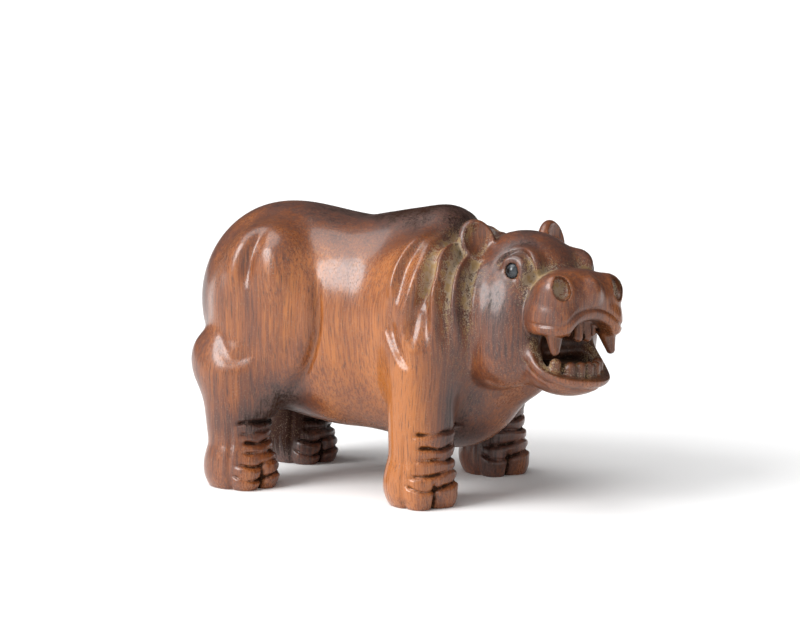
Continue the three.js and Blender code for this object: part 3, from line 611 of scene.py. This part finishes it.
# mesh of the carving: a first net, settled onto the surface, then refined
def carvedMesh():
    lines = [gridLines(axis) for axis in range(3)]
    points, triangles = surfaceNet(gridValues(carving, lines), lines)
    for limit in meshing["firstMoves"]:
        points = settle(carving, points, limit)
    print("carving: first net", len(triangles), "triangles")
    for _ in range(meshing["passes"]):
        points, triangles = refine(carving, points, triangles)
    print("carving: refined to", len(triangles), "triangles")
    return points, triangles


# normals of the points: the sum of the triangles' own, by area
def pointNormals(points, triangles):
    a, b, c = (points[triangles[:, i]] for i in range(3))
    face = np.cross(b - a, c - a)
    sums = [np.bincount(triangles.ravel(), face[:, i].repeat(3), len(points)) for i in range(3)]
    normal = np.stack(sums, 1)
    return normal / (np.sqrt((normal ** 2).sum(1, keepdims=True)) + 1e-12)


# where the tone is lighter or darker, with painted shade in the patches marked so, and where dust lies, with
# a pale patch on the shoulder folds that is partly a painted sheen: (centre, radii, amount) in the frame
# named
toneAndShadePlaces = {
    "body": (  # both sides alike
        ((12.0, 13.5, 9.0), (5.0, 6.0, 11.0), 0.40),
        # painted shade on the fore legs' fronts, which turn away from the lamps
        ((16.6, 10.6, 10.5), (2.6, 4.6, 6.5), -0.48),
        # painted shade on the fore legs' inner sides near the ground
        ((12.7, 6.0, 5.0), (4.0, 3.5, 5.0), -0.45),
        ((2.0, 12.0, 17.0), (8.5, 7.0, 10.5), 0.22),
        ((-3.2, 12.0, 21.0), (1.8, 4.0, 7.0), -0.20),
        # painted shade along the top of the back and the rump, which little light reaches from above
        ((4.0, 0.0, 36.0), (26.0, 9.0, 6.0), -0.40),
        ((6.0, 0.0, 34.0), (8.0, 8.0, 5.0), -0.46),
        ((-11.0, 0.0, 35.0), (9.0, 8.0, 4.0), -0.12),
        # painted shade between the fore legs, under the chest
        ((13.0, 4.2, 9.5), (5.0, 4.6, 7.0), -0.38),
        # painted shade on the hind legs' inner sides and heels
        ((-15.5, 4.6, 7.5), (4.8, 4.6, 8.0), -1.20),
        ((-10.0, 11.0, 8.2), (4.5, 5.0, 2.0), -0.45),
        # painted shade under the belly, between the hind legs
        ((-7.5, 7.5, 12.0), (3.2, 5.0, 4.0), -0.80),
        ((-20.0, 5.0, 22.0), (4.5, 8.0, 13.0), -0.40),
        ((-15.0, 10.5, 4.0), (6.0, 5.0, 5.0), -0.14),
        ((18.5, 0.0, 12.0), (4.0, 6.0, 6.0), 0.06),
    ),
    "head": (
        ((-2.0, 0.0, -2.0), (9.0, 9.0, 9.0), -0.31),
        ((-3.5, 7.0, -9.0), (5.5, 4.5, 7.0), -0.58),
        ((5.0, 0.0, -5.5), (6.0, 7.0, 5.5), -0.12),
        ((-6.8, 6.0, 0.3), (2.4, 2.4, 3.0), 0.30),
        ((-3.2, 8.5, -12.5), (1.8, 3.0, 4.0), 0.26),
        ((5.5, 4.0, -9.2), (4.5, 4.0, 1.0), 0.10),
        ((5.0, 0.0, -15.5), (6.0, 6.0, 2.5), -0.15),
    ),
}
dustAndSheenPlaces = {
    "body": (
        ((16.4, 10.0, 27.0), (2.6, 5.5, 8.0), 0.70),
        # partly dust, partly a painted sheen: a pale grey patch on the shoulder folds
        ((13.2, 11.0, 27.5), (3.0, 5.0, 5.0), 0.60),
        ((17.0, 5.0, 32.5), (2.5, 4.0, 3.0), 0.60),
        ((0.0, 9.0, 29.0), (7.0, 4.0, 4.0), 0.25),
    ),
    "head": (
        ((2.0, 4.6, -3.4), (2.2, 2.0, 1.8), 1.30),
        ((1.4, 2.4, -1.6), (2.0, 2.4, 1.2), 0.90),
        ((-2.2, 5.6, -3.0), (1.6, 1.6, 2.0), 0.50),
        ((-6.8, 6.0, 0.8), (2.2, 2.4, 2.8), -1.30),
        ((5.9, 4.2, -4.1), (1.0, 1.0, 1.2), 2.00),
        ((7.2, -0.6, -4.6), (1.2, 1.6, 1.6), 0.35),
        ((4.4, 4.4, -13.2), (2.2, 1.2, 1.5), 0.60),
        ((6.2, 0.0, -14.2), (2.0, 3.6, 1.0), 0.50),
        ((3.2, 4.8, -11.5), (1.5, 1.2, 1.5), 0.45),
        ((5.0, 0.0, -12.7), (2.0, 3.0, 1.0), 0.50),
        ((-7.2, 5.5, -3.0), (1.6, 3.0, 3.5), 0.50),
        ((1.5, 5.3, -3.2), (0.7, 0.9, 0.6), 1.60),
    ),
}


# sum of soft round patches: amount times a bell of the distance over the radii
def patches(p, places):
    folded = foldSides(p)
    total = np.zeros(len(p))
    for at, size, amount in places:
        total += amount * np.exp(-(((folded - np.asarray(at)) / np.asarray(size)) ** 2).sum(1))
    return total


# settings of the marks: hollows, wear on ridges, dust, tooth and mouth edges, and painted shade on the far
# side, in the creases and in the mouth
wearDustAndShade = {
    "hollowAt": ((0.3, 0.4), (0.7, 0.35), (1.8, 0.25)), "ridgeAt": 0.4,  # mm from the surface, share
    "foldDust": 1.1, "foldTop": (0, 0.2), "foldFoot": (0.1, 0.5),
    "dustAll": 0.2, "dustHollow": 3.2, "dustRidge": 1.5, "dustMost": 1.2,
    "farSideShade": 0.15, "farSide": (3, 8), "farTop": (12, 18),
    "mouthEdge": (0.25, -0.2), "mouthBack": (-2, 1), "toothEdge": (0.3, 0.0), "toothClean": 0.65,
    "creaseShade": 0.72, "creaseDepth": (0.06, 0.42),
}


# marks for the finish, one number a point: how hollow or sharp the place is, by the room just outside and
# inside the surface, the hollows and foot creases to be painted dark as shade; its tone and its dust as sums
# of patches, the tone with painted shade in it and on the far side, the dust with a painted sheen on the
# shoulder folds; and whether it is in the mouth, whose inside is painted dark as shade
def finishMarks(points, normals):
    w = wearDustAndShade
    hollow = np.zeros(len(points))
    for reach, share in w["hollowAt"]:
        hollow += share * np.clip(1 - carving(points + normals * reach) / reach, 0, 1)
    ridge = np.clip(1 + carving(points - normals * w["ridgeAt"]) / w["ridgeAt"], 0, 1)
    q = (points - np.asarray(headPlace["at"])) @ headFrame.T
    tone = patches(points, toneAndShadePlaces["body"]) + patches(q, toneAndShadePlaces["head"])
    dustAndSheen = patches(points, dustAndSheenPlaces["body"]) + patches(q, dustAndSheenPlaces["head"])
    for path, width, depth, nape in foldPaths:
        if nape and depth > 0:
            away, share = alongCurve(points[:, [0, 2]], path)
            ends = rise(*w["foldTop"], share) * rise(*w["foldFoot"], 1 - share)
            dustAndSheen += bell(away, w["foldDust"] * width) * ends
    dustAndSheen *= np.clip(w["dustAll"] + w["dustHollow"] * hollow - w["dustRidge"] * ridge, 0, w["dustMost"])
    s = foldSides(q)
    onTooth = [rise(*w["toothEdge"], rod(s, root, tip, thick)) for root, tip, thick, blend in teeth]
    clear = 1 - w["toothClean"] * np.max(onTooth, 0)
    # painted shade on the far side's legs and lower body, away from the lamps
    tone -= w["farSideShade"] * rise(*w["farSide"], points[:, 1]) * (1 - rise(*w["farTop"], points[:, 2]))
    # inside of the mouth, to be painted dark as shade, with the teeth left clear
    opening = np.minimum(mouthCut(q), blob(q, *mouthForm["tray"]))
    inMouth = rise(*w["mouthEdge"], opening) * rise(*w["mouthBack"], q[:, 0]) * clear
    # painted shade in the foot creases, put into the hollows mark
    for x, y, side, fore in feet:
        near = nearFoot(points, x, y)
        cuts = footCuts(points[near] - np.array([x, y, 0]), foreLeg if fore else hindLeg)
        hollow[near] = np.maximum(hollow[near], w["creaseShade"] * rise(*w["creaseDepth"], cuts))
    return {"hollow": hollow, "ridge": ridge, "tone": tone, "dustAndSheen": dustAndSheen, "inMouth": inMouth}


# an object at the origin, from points in metres and lists of corners
def addObject(name, points, faces, material, smooth=True):
    mesh = bpy.data.meshes.new(name)
    mesh.from_pydata(points.tolist(), [], faces)
    mesh.polygons.foreach_set("use_smooth", np.full(len(mesh.polygons), smooth))
    mesh.materials.append(material)
    mesh.update()
    piece = bpy.data.objects.new(name, mesh)
    bpy.context.scene.collection.objects.link(piece)
    return piece


# one number a point, kept on the mesh for a material to read
def addMark(piece, name, values):
    mark = piece.data.attributes.new(name, "FLOAT", "POINT")
    mark.data.foreach_set("value", values.astype(np.float32))


# one node with its settings and its inputs; an input is a value, or an output of another node to link from
def addNode(tree, kind, inputs=None, **settings):
    node = tree.nodes.new("ShaderNode" + kind)
    for name, value in settings.items():
        setattr(node, name, value)
    for name, value in (inputs or {}).items():
        if isinstance(value, bpy.types.NodeSocket):
            tree.links.new(value, node.inputs[name])
        else:
            node.inputs[name].default_value = value
    return node


# arithmetic on two values
def mathNode(tree, operation, a, b=0.0, clamp=False):
    return addNode(tree, "Math", {0: a, 1: b}, operation=operation, use_clamp=clamp).outputs[0]


def sumNode(tree, a, b, clamp=False):
    return mathNode(tree, "ADD", a, b, clamp)


def timesNode(tree, a, b):
    return mathNode(tree, "MULTIPLY", a, b)


# value between two limits stretched to 0..1 or to the range given
def spanNode(tree, value, low, high, toLow=0.0, toHigh=1.0):
    inputs = {"Value": value, "From Min": low, "From Max": high, "To Min": toLow, "To Max": toHigh}
    return addNode(tree, "MapRange", inputs, interpolation_type="SMOOTHSTEP").outputs["Result"]


# colour a turning into colour b by the share
def mixNode(tree, share, a, b):
    return addNode(tree, "Mix", {0: share, 6: a, 7: b}, data_type="RGBA").outputs[2]


# noise on the object's own coordinates, stretched by a scale for each axis in features per metre
def noiseNode(tree, place, scale, detail=2.0, rough=0.5, at=(0, 0, 0)):
    spot = addNode(tree, "Mapping", {"Vector": place, "Scale": scale, "Location": at}).outputs["Vector"]
    inputs = {"Vector": spot, "Scale": 1.0, "Detail": detail, "Roughness": rough}
    return addNode(tree, "TexNoise", inputs).outputs["Fac"]


# a number kept on the mesh's points
def markNode(tree, name):
    return addNode(tree, "Attribute", attribute_name=name, attribute_type="GEOMETRY").outputs["Fac"]


# a new material, its tree and its shader
def startMaterial(name):
    material = bpy.data.materials.new(name)
    material.use_nodes = True
    return material, material.node_tree, material.node_tree.nodes["Principled BSDF"]


hardwood = {
    # linear colours, and where they stand on the scale of tones
    "darkest": (0.024, 0.009, 0.006, 1), "purple": (0.064, 0.023, 0.016, 1), "red": (0.126, 0.036, 0.014, 1),
    "brown": (0.208, 0.061, 0.016, 1), "orange": (0.345, 0.110, 0.022, 1),
    "stops": ((0.0, "darkest"), (0.2, "purple"), (0.45, "red"), (0.68, "brown"), (1.0, "orange")),
    # near-black painted shade for the hollows and creases, and for the inside of the mouth
    "hollowShade": (0.010, 0.006, 0.005, 1), "mouth": (0.014, 0.008, 0.006, 1),
    "dustAndSheen": (0.42, 0.335, 0.24, 1), "ochre": (0.36, 0.255, 0.13, 1),
    # features a metre along x, y and z
    "figure": (330, 330, 38), "streak": (3600, 3600, 130), "pores": (9000, 9000, 330),
    "cloud": (160, 160, 120), "speck": (6500, 6500, 6500), "clump": (900, 900, 900),
    "sway": 90.0, "swayBy": 0.0016,
    # how far each moves the tone
    "figureTone": (0.49, 0.83), "streakTone": (-0.17, 0.17), "cloudTone": (-0.10, 0.10),
    "poreSpan": (0.58, 0.68), "hollowShadeSpan": (0.22, 0.72), "speckBy": (-0.55, 0.55), "clumpBy": (0.35, 1.25),
    "poreShare": 0.6, "ridgeShare": 0.25, "hollowShadeShare": 0.88, "mouthShare": 0.9, "dustAndSheenShare": 0.7,
    "rough": (0.24, 0.32), "darkRough": 0.14, "dustRough": 0.4, "hollowShadeRough": 0.2,
    "coat": 0.32, "coatRoughness": 0.14, "shine": 0.5, "mattShine": 0.05, "mattTone": (-0.3, 0.3),
    "bump": 0.2, "bumpDepth": 0.00008, "streakHeight": 0.1, "dustHeight": 0.6,
}


# polished hardwood: bands and fine streaks along z move the tone up and down a row of browns, and the tone
# mark brings painted shade into it; pores darken it, painted shade darkens the hollows, creases and the
# inside of the mouth, and dust lies in the hollows, where on the shoulder folds it stands in for a painted
# sheen as well
def hardwoodMaterial():
    h = hardwood
    material, tree, shader = startMaterial("polishedHardwood")
    place = addNode(tree, "TexCoord").outputs["Object"]
    sway = addNode(tree, "TexNoise", {"Vector": place, "Scale": h["sway"], "Detail": 1.0}).outputs["Color"]
    sway = addNode(tree, "VectorMath", {0: sway, 1: (0.5, 0.5, 0.5)}, operation="SUBTRACT").outputs[0]
    sway = addNode(tree, "VectorMath", {0: sway, "Scale": h["swayBy"]}, operation="SCALE").outputs[0]
    grainPlace = addNode(tree, "VectorMath", {0: place, 1: sway}, operation="ADD").outputs[0]
    figure = noiseNode(tree, grainPlace, h["figure"], 3.0, 0.55)
    streak = noiseNode(tree, grainPlace, h["streak"], 2.0, 0.6)
    pores = noiseNode(tree, grainPlace, h["pores"], 1.0, 0.5)
    cloud = noiseNode(tree, place, h["cloud"], 2.0, 0.5, (3, 1, 7))
    hollow, ridge = markNode(tree, "hollow"), markNode(tree, "ridge")
    dustAndSheenMark, mouthMark = markNode(tree, "dustAndSheen"), markNode(tree, "inMouth")
    # tone from the mark, which holds painted shade as well as the wood's own tone, then the grain
    tone = sumNode(tree, markNode(tree, "tone"), spanNode(tree, figure, 0.25, 0.75, *h["figureTone"]))
    tone = sumNode(tree, tone, spanNode(tree, streak, 0.25, 0.75, *h["streakTone"]))
    tone = sumNode(tree, tone, spanNode(tree, cloud, 0.3, 0.7, *h["cloudTone"]))
    ramp = addNode(tree, "ValToRGB", {"Fac": tone})
    while len(ramp.color_ramp.elements) < len(h["stops"]):
        ramp.color_ramp.elements.new(0.5)
    for element, (position, name) in zip(ramp.color_ramp.elements, h["stops"]):
        element.position, element.color = position, h[name]
    porous = spanNode(tree, pores, *h["poreSpan"])
    # painted shade: darker where the surface is hollow or creased
    hollowShade = spanNode(tree, hollow, *h["hollowShadeSpan"])
    speck = spanNode(tree, noiseNode(tree, place, h["speck"], 2.0, 0.7), 0.3, 0.7, *h["speckBy"])
    clump = noiseNode(tree, place, h["clump"], 2.0, 0.6, (5, 2, 1))
    # dust, which on the shoulder folds also stands in for a painted sheen
    lying = timesNode(tree, dustAndSheenMark, spanNode(tree, clump, 0.3, 0.62, *h["clumpBy"]))
    dustAndSheen = spanNode(tree, sumNode(tree, lying, speck), 0.3, 0.9)
    dustAndSheenColour = mixNode(tree, spanNode(tree, clump, 0.45, 0.6), h["dustAndSheen"], h["ochre"])
    colour = mixNode(tree, timesNode(tree, porous, h["poreShare"]), ramp.outputs["Color"], h["darkest"])
    colour = mixNode(tree, timesNode(tree, ridge, h["ridgeShare"]), colour, h["brown"])
    # painted shade in the hollows and creases
    colour = mixNode(tree, timesNode(tree, hollowShade, h["hollowShadeShare"]), colour, h["hollowShade"])
    # painted shade inside the mouth
    colour = mixNode(tree, timesNode(tree, mouthMark, h["mouthShare"]), colour, h["mouth"])
    colour = mixNode(tree, timesNode(tree, dustAndSheen, h["dustAndSheenShare"]), colour, dustAndSheenColour)
    rough = spanNode(tree, streak, 0.3, 0.7, *h["rough"])
    rough = sumNode(tree, rough, timesNode(tree, dustAndSheen, h["dustRough"]))
    rough = sumNode(tree, rough, spanNode(tree, tone, 0.25, 0.6, h["darkRough"], 0.0))
    rough = sumNode(tree, rough, timesNode(tree, hollowShade, h["hollowShadeRough"]), True)
    height = mathNode(tree, "SUBTRACT", timesNode(tree, streak, h["streakHeight"]), porous)
    height = sumNode(tree, height, timesNode(tree, dustAndSheen, h["dustHeight"]))
    bump = addNode(tree, "Bump", {"Height": height, "Strength": h["bump"], "Distance": h["bumpDepth"]})
    matt = mathNode(tree, "MAXIMUM", mathNode(tree, "MAXIMUM", hollowShade, mouthMark), dustAndSheen)
    matt = mathNode(tree, "MAXIMUM", matt, spanNode(tree, tone, *h["mattTone"], 1.0, 0.0))
    coat = spanNode(tree, matt, 0.0, 1.0, h["coat"], 0.0)
    shine = spanNode(tree, matt, 0.0, 1.0, h["shine"], h["mattShine"])
    tree.links.new(coat, shader.inputs["Coat Weight"])
    tree.links.new(shine, shader.inputs["Specular IOR Level"])
    tree.links.new(colour, shader.inputs["Base Color"])
    tree.links.new(rough, shader.inputs["Roughness"])
    tree.links.new(bump.outputs["Normal"], shader.inputs["Normal"])
    shader.inputs["Coat Roughness"].default_value = h["coatRoughness"]
    return material


# the carving, in metres in the part's frame and kept inside the solids' box
def buildCarving():
    points, triangles = carvedMesh()
    marks = finishMarks(points, pointNormals(points, triangles))
    placed = np.clip((points - middle) / 1000, np.array(cadBox[0]), np.array(cadBox[1]))
    piece = addObject("hippopotamus_carving", placed, triangles.tolist(), hardwoodMaterial())
    for name, values in marks.items():
        addMark(piece, name, values)
    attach(piece, "root")
    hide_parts("carved_body")
    print("carving: placed", len(points), "points")


beadEye = {
    "around": 48, "down": 40, "pupilTilt": (0.35, -0.1), "pupil": 0.36, "pupilDepth": 0.05,
    "colour": (0.012, 0.014, 0.017, 1), "bloom": (0.045, 0.052, 0.058, 1),
    "pupilColour": (0.002, 0.002, 0.002, 1), "cloud": (1400, 1400, 1400), "rough": (0.08, 0.2),
}


# bead material: near black with a grey bloom that thins towards the drilled pupil
def beadMaterial():
    b = beadEye
    material, tree, shader = startMaterial("blackBead")
    place = addNode(tree, "TexCoord").outputs["Object"]
    cloud = noiseNode(tree, place, b["cloud"], 3.0, 0.6)
    colour = mixNode(tree, spanNode(tree, cloud, 0.35, 0.7), b["colour"], b["bloom"])
    colour = mixNode(tree, markNode(tree, "pupil"), colour, b["pupilColour"])
    tree.links.new(colour, shader.inputs["Base Color"])
    tree.links.new(spanNode(tree, cloud, 0.3, 0.7, *b["rough"]), shader.inputs["Roughness"])
    return material


# a bead: a ball of polar angle and turn about its own facing, pressed in by a bell round the pupil
def buildEye(name, side, material):
    e, b = eyeForm, beadEye
    turn = np.linspace(0, 2 * np.pi, b["around"], endpoint=False)
    polar = np.linspace(0, np.pi, b["down"] + 1)[1:-1]
    polar, turn = (a.ravel() for a in np.meshgrid(polar, turn, indexing="ij"))
    unit = np.stack([np.cos(polar), np.sin(polar) * np.cos(turn), np.sin(polar) * np.sin(turn)], 1)
    unit = np.vstack([unit, [[1, 0, 0], [-1, 0, 0]]])
    away = np.sqrt((unit[:, 1] - b["pupilTilt"][0] * side) ** 2 + (unit[:, 2] - b["pupilTilt"][1]) ** 2)
    pupil = bell(away, b["pupil"]) * (unit[:, 0] > 0)
    local = unit * (e["radius"] - b["pupilDepth"] * pupil)[:, None]
    flip = np.array([1, side, 1])
    axes = axesOf(np.asarray(e["facing"]) * flip)
    points = fromHead(local @ axes + np.asarray(e["at"]) * flip)
    rows, around = b["down"] - 1, b["around"]
    i, j = (a.ravel() for a in np.meshgrid(np.arange(rows - 1), np.arange(around), indexing="ij"))
    right = (j + 1) % around
    sides = np.stack([i * around + j, (i + 1) * around + j, (i + 1) * around + right, i * around + right], 1)
    j, last = np.arange(around), (rows - 1) * around
    caps = [np.stack([np.full(around, rows * around), j, (j + 1) % around], 1),
            np.stack([np.full(around, rows * around + 1), last + (j + 1) % around, last + j], 1)]
    faces = sides.tolist() + caps[0].tolist() + caps[1].tolist()
    piece = addObject(name + "_bead", (points - middle) / 1000, faces, material)
    addMark(piece, "pupil", pupil)
    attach(piece, "root")
    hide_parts(name)
    print("eye: placed", piece.name)


studio = {
    "aim": (-0.0018, -0.00015, 0.0206), "distance": 0.32, "azimuth": 25.0, "elevation": 8.0, "lens": 115.2,
    "sensor": 36.0, "clip": (0.01, 50.0),
    "floorSize": 16.0, "floorColour": (0.95, 0.95, 0.95, 1), "floorRough": 0.7,
    "sky": (0.88, 0.10), "skySpan": (-0.7, 0.7),  # bright in front, dim behind
    "lamps": (  # name, azimuth and elevation seen from the aim, angle of the soft disc, strength
        ("keySun", -36.0, 31.0, 36.0, 3.05),
        ("topSun", -70.0, 68.0, 46.0, 1.4),
    ),
}


# a place seen from the aim: azimuth 0 lies towards -y and 90 towards +x
def seenFrom(aim, azimuth, elevation, distance):
    a, e = np.radians(azimuth), np.radians(elevation)
    return Vector(aim) + distance * Vector((np.sin(a) * np.cos(e), -np.cos(a) * np.cos(e), np.sin(e)))


# a lamp or camera put at the spot and turned so that its -z meets the aim
def placeLooking(thing, spot, aim):
    thing.location = spot
    thing.rotation_euler = (Vector(aim) - spot).to_track_quat("-Z", "Y").to_euler()
    bpy.context.scene.collection.objects.link(thing)


# floor, sky, lamps and the camera at the photograph's angle
def buildStudio():
    s, scene = studio, bpy.context.scene
    camera = bpy.data.cameras.new("photoCamera")
    camera.lens, camera.sensor_width = s["lens"], s["sensor"]
    camera.clip_start, camera.clip_end = s["clip"]
    viewer = bpy.data.objects.new("photoCamera", camera)
    placeLooking(viewer, seenFrom(s["aim"], s["azimuth"], s["elevation"], s["distance"]), s["aim"])
    scene.camera = viewer
    for name, azimuth, elevation, disc, strength in s["lamps"]:
        lamp = bpy.data.lights.new(name, "SUN")
        lamp.angle, lamp.energy = np.radians(disc), strength
        spot = seenFrom(s["aim"], azimuth, elevation, s["distance"])
        placeLooking(bpy.data.objects.new(name, lamp), spot, s["aim"])
    world = bpy.data.worlds.new("studioWorld")
    scene.world = world
    world.use_nodes = True
    sky = world.node_tree.nodes["Background"]
    sky.inputs["Color"].default_value = (1, 1, 1, 1)
    facing = addNode(world.node_tree, "TexCoord").outputs["Generated"]
    facing = addNode(world.node_tree, "SeparateXYZ", {"Vector": facing}).outputs["Y"]
    glow = spanNode(world.node_tree, facing, *s["skySpan"], *s["sky"])
    world.node_tree.links.new(glow, sky.inputs["Strength"])
    half = s["floorSize"] / 2
    corners = np.array([(-half, -half, 0), (half, -half, 0), (half, half, 0), (-half, half, 0)])
    material, tree, shader = startMaterial("paleFloor")
    shader.inputs["Base Color"].default_value = s["floorColour"]
    shader.inputs["Roughness"].default_value = s["floorRough"]
    floor = addObject("studio_floor", corners, [[0, 1, 2, 3]], material, False)
    floor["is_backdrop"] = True
    scene.view_settings.view_transform = "Standard"
    print("studio: floor, lamps and camera")


buildCarving()
beadFinish = beadMaterial()
for eye, side in (("right_eye", -1), ("left_eye", 1)):
    buildEye(eye, side, beadFinish)
buildStudio()

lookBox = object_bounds()
for name, box in (("cad", cadBox), ("visual", lookBox)):
    print("size in mm:", name, [round(v * 1000, 2) for corner in box for v in corner])
